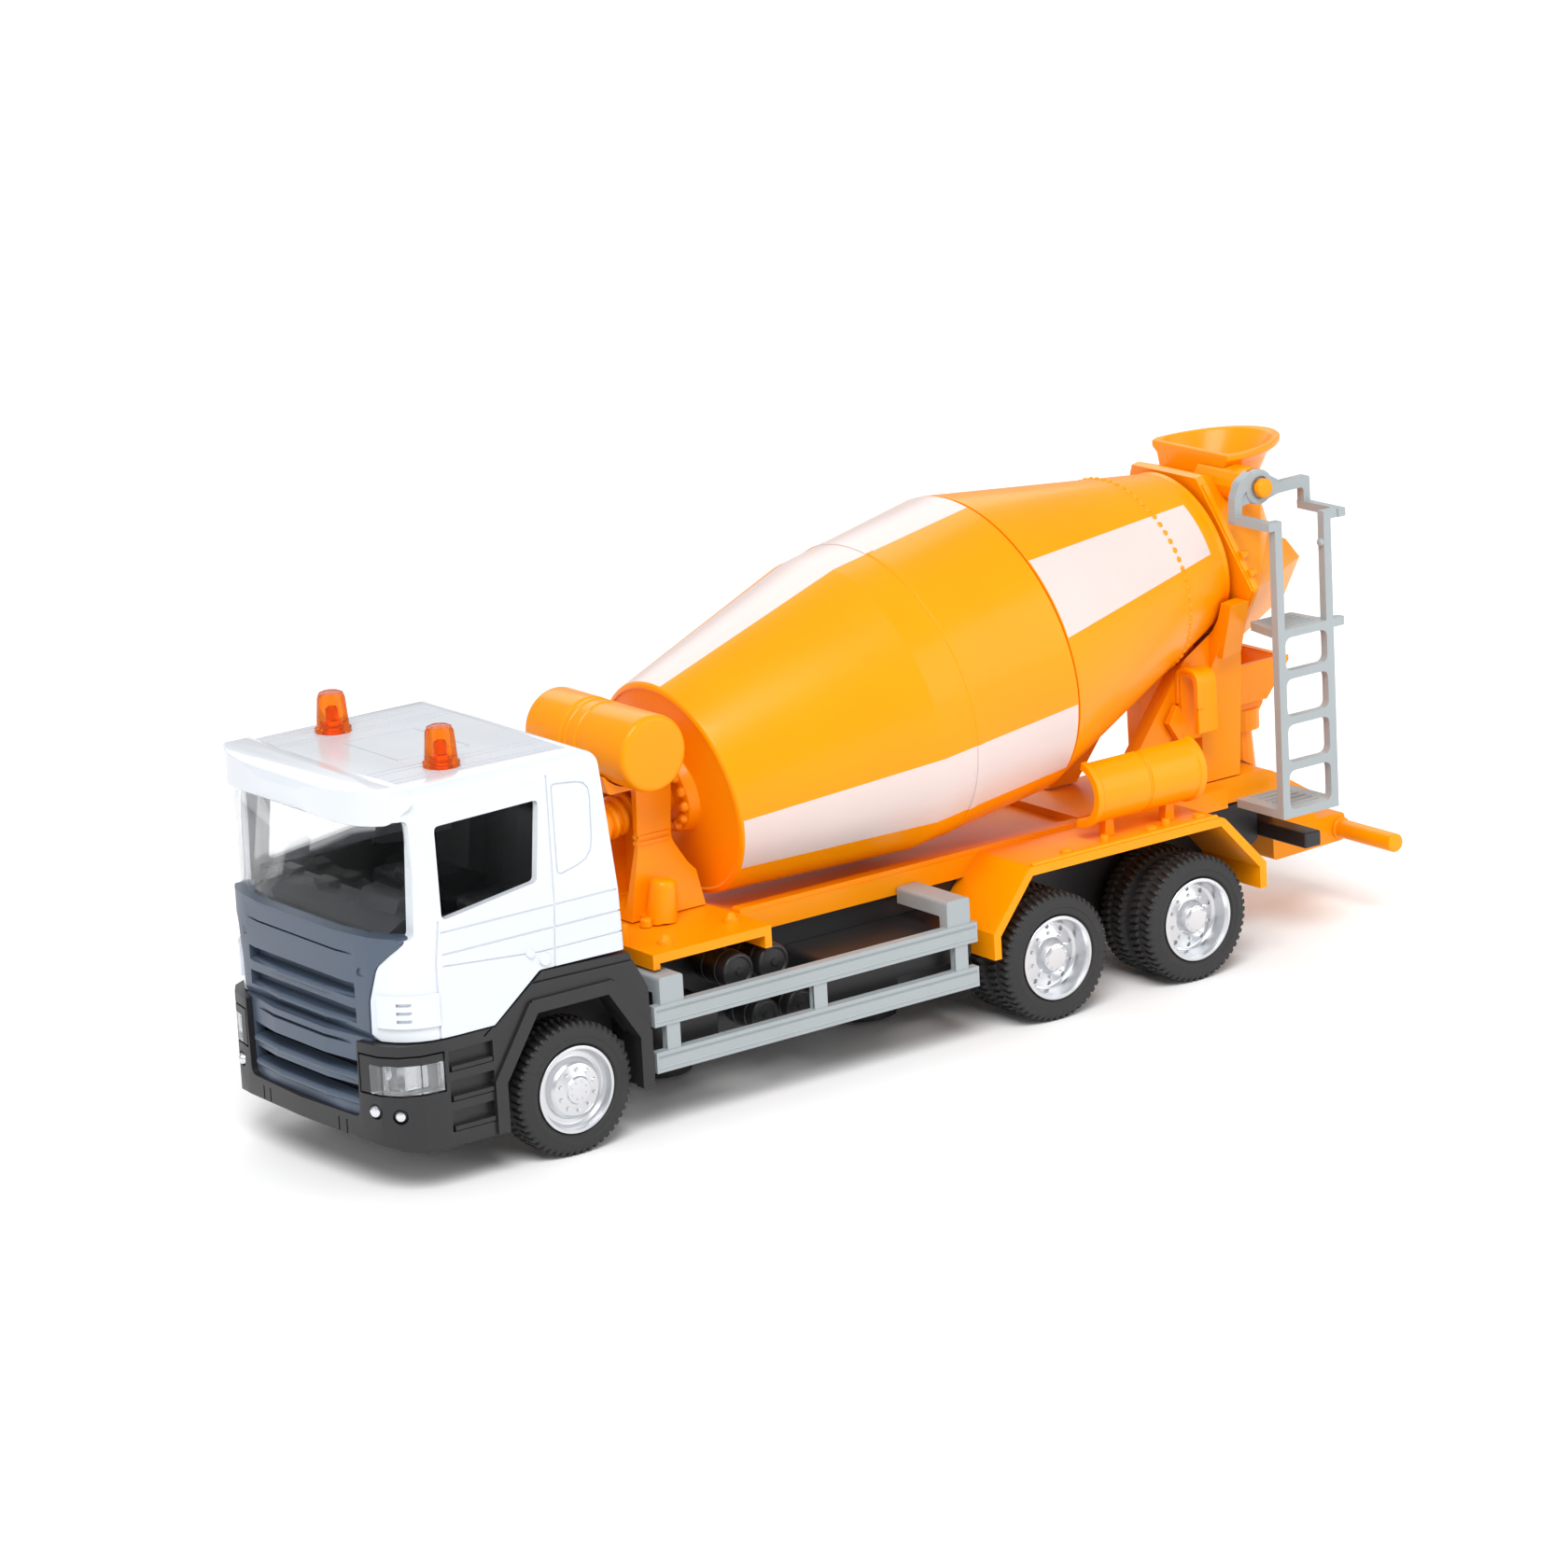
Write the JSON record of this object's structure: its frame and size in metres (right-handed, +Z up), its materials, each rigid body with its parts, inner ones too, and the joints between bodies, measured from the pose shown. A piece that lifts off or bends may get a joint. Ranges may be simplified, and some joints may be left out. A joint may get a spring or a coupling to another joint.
{
  "type": "toy concrete mixer truck",
  "caption": "Toy concrete mixer truck with tilted turning drum, rolling axles, swivelling chute and hinged side ladder.",
  "frame": {"origin": "on the ground plane under the middle of the truck's bounding box", "axes": "+X towards the cab and front bumper, +Y towards the truck's left side, +Z up"},
  "size_m": [0.1608, 0.0408, 0.065],
  "materials": {
    "white_plastic": "glossy",
    "yellow_plastic": "glossy",
    "grey_plastic": "satin",
    "slate_plastic": "satin",
    "black_plastic": "satin",
    "dark_interior": "matt",
    "clear_glazing": "clear, slightly smoked",
    "clear_lens": "clear",
    "amber_lens": "translucent gloss",
    "tyre": "matt",
    "bright_rim": "vacuum-plated",
    "steel": "satin"
  },
  "bodies": {
    "chassis": {"base_screw_1": "steel", "base_screw_2": "steel", "battery_box_left": "black_plastic", "battery_box_right": "black_plastic", "beacon_left": "amber_lens", "beacon_right": "amber_lens", "cab_base": "black_plastic", "cab_interior": "dark_interior", "cab_shell": "white_plastic", "charging_hopper": "yellow_plastic", "chassis_frame": "black_plastic", "chute_extension": "yellow_plastic", "chute_post": "yellow_plastic", "discharge_hood": "yellow_plastic", "drive_motor": "yellow_plastic", "front_pedestal": "yellow_plastic", "fuel_tank_left": "black_plastic", "fuel_tank_right": "black_plastic", "grille_panel": "slate_plastic", "headlamp_lens_left": "clear_lens", "headlamp_lens_right": "clear_lens", "hook_bracket": "yellow_plastic", "ladder_pin": "yellow_plastic", "lower_tank_left_1": "black_plastic", "lower_tank_left_2": "black_plastic", "lower_tank_right_1": "black_plastic", "lower_tank_right_2": "black_plastic", "rear_support": "yellow_plastic", "side_guard_left": "grey_plastic", "side_guard_right": "grey_plastic", "subframe_deck": "yellow_plastic", "tail_beam": "yellow_plastic", "underrun_bar": "black_plastic", "upper_tank_left_1": "black_plastic", "upper_tank_left_2": "black_plastic", "upper_tank_right_1": "black_plastic", "upper_tank_right_2": "black_plastic", "water_tank": "yellow_plastic", "window_insert": "clear_glazing"},
    "drum": {"drum_front_shell": "yellow_plastic", "drum_rear_shell": "yellow_plastic"},
    "chute": {"discharge_chute": "yellow_plastic"},
    "ladder": {"ladder": "grey_plastic"},
    "front_wheels": {"front_axle": "steel", "tyre_front_left": "tyre", "tyre_front_right": "tyre", "rim_front_left": "bright_rim", "rim_front_right": "bright_rim"},
    "middle_wheels": {"middle_axle": "steel", "tyre_middle_left": "tyre", "tyre_middle_right": "tyre", "rim_middle_left": "bright_rim", "rim_middle_right": "bright_rim"},
    "rear_wheels": {"rear_axle": "steel", "tyre_rear_left": "tyre", "tyre_rear_right": "tyre", "rim_rear_left": "bright_rim", "rim_rear_right": "bright_rim"}
  },
  "joints": [
    {"name": "front_axle_spin", "type": "hinge", "parent": "chassis", "child": "front_wheels", "pos_m": [0.0538, 0, 0.0083], "axis": [0, 1, 0], "continuous": true},
    {"name": "middle_axle_spin", "type": "hinge", "parent": "chassis", "child": "middle_wheels", "pos_m": [-0.0205, 0, 0.0083], "axis": [0, 1, 0], "continuous": true},
    {"name": "rear_axle_spin", "type": "hinge", "parent": "chassis", "child": "rear_wheels", "pos_m": [-0.0437, 0, 0.0083], "axis": [0, 1, 0], "continuous": true},
    {"name": "drum_spin", "type": "hinge", "parent": "chassis", "child": "drum", "pos_m": [0.0239, 0, 0.0358], "axis": [-0.9827, 0, 0.185], "continuous": true},
    {"name": "chute_swivel", "type": "hinge", "parent": "chassis", "child": "chute", "pos_m": [-0.068, 0, 0.026], "axis": [0, 0, 1], "range_deg": [-115, 0]},
    {"name": "ladder_swing", "type": "hinge", "parent": "chassis", "child": "ladder", "pos_m": [-0.0627, 0.0117, 0.0608], "axis": [0, 1, 0], "range_deg": [0, 80]}
  ]
}
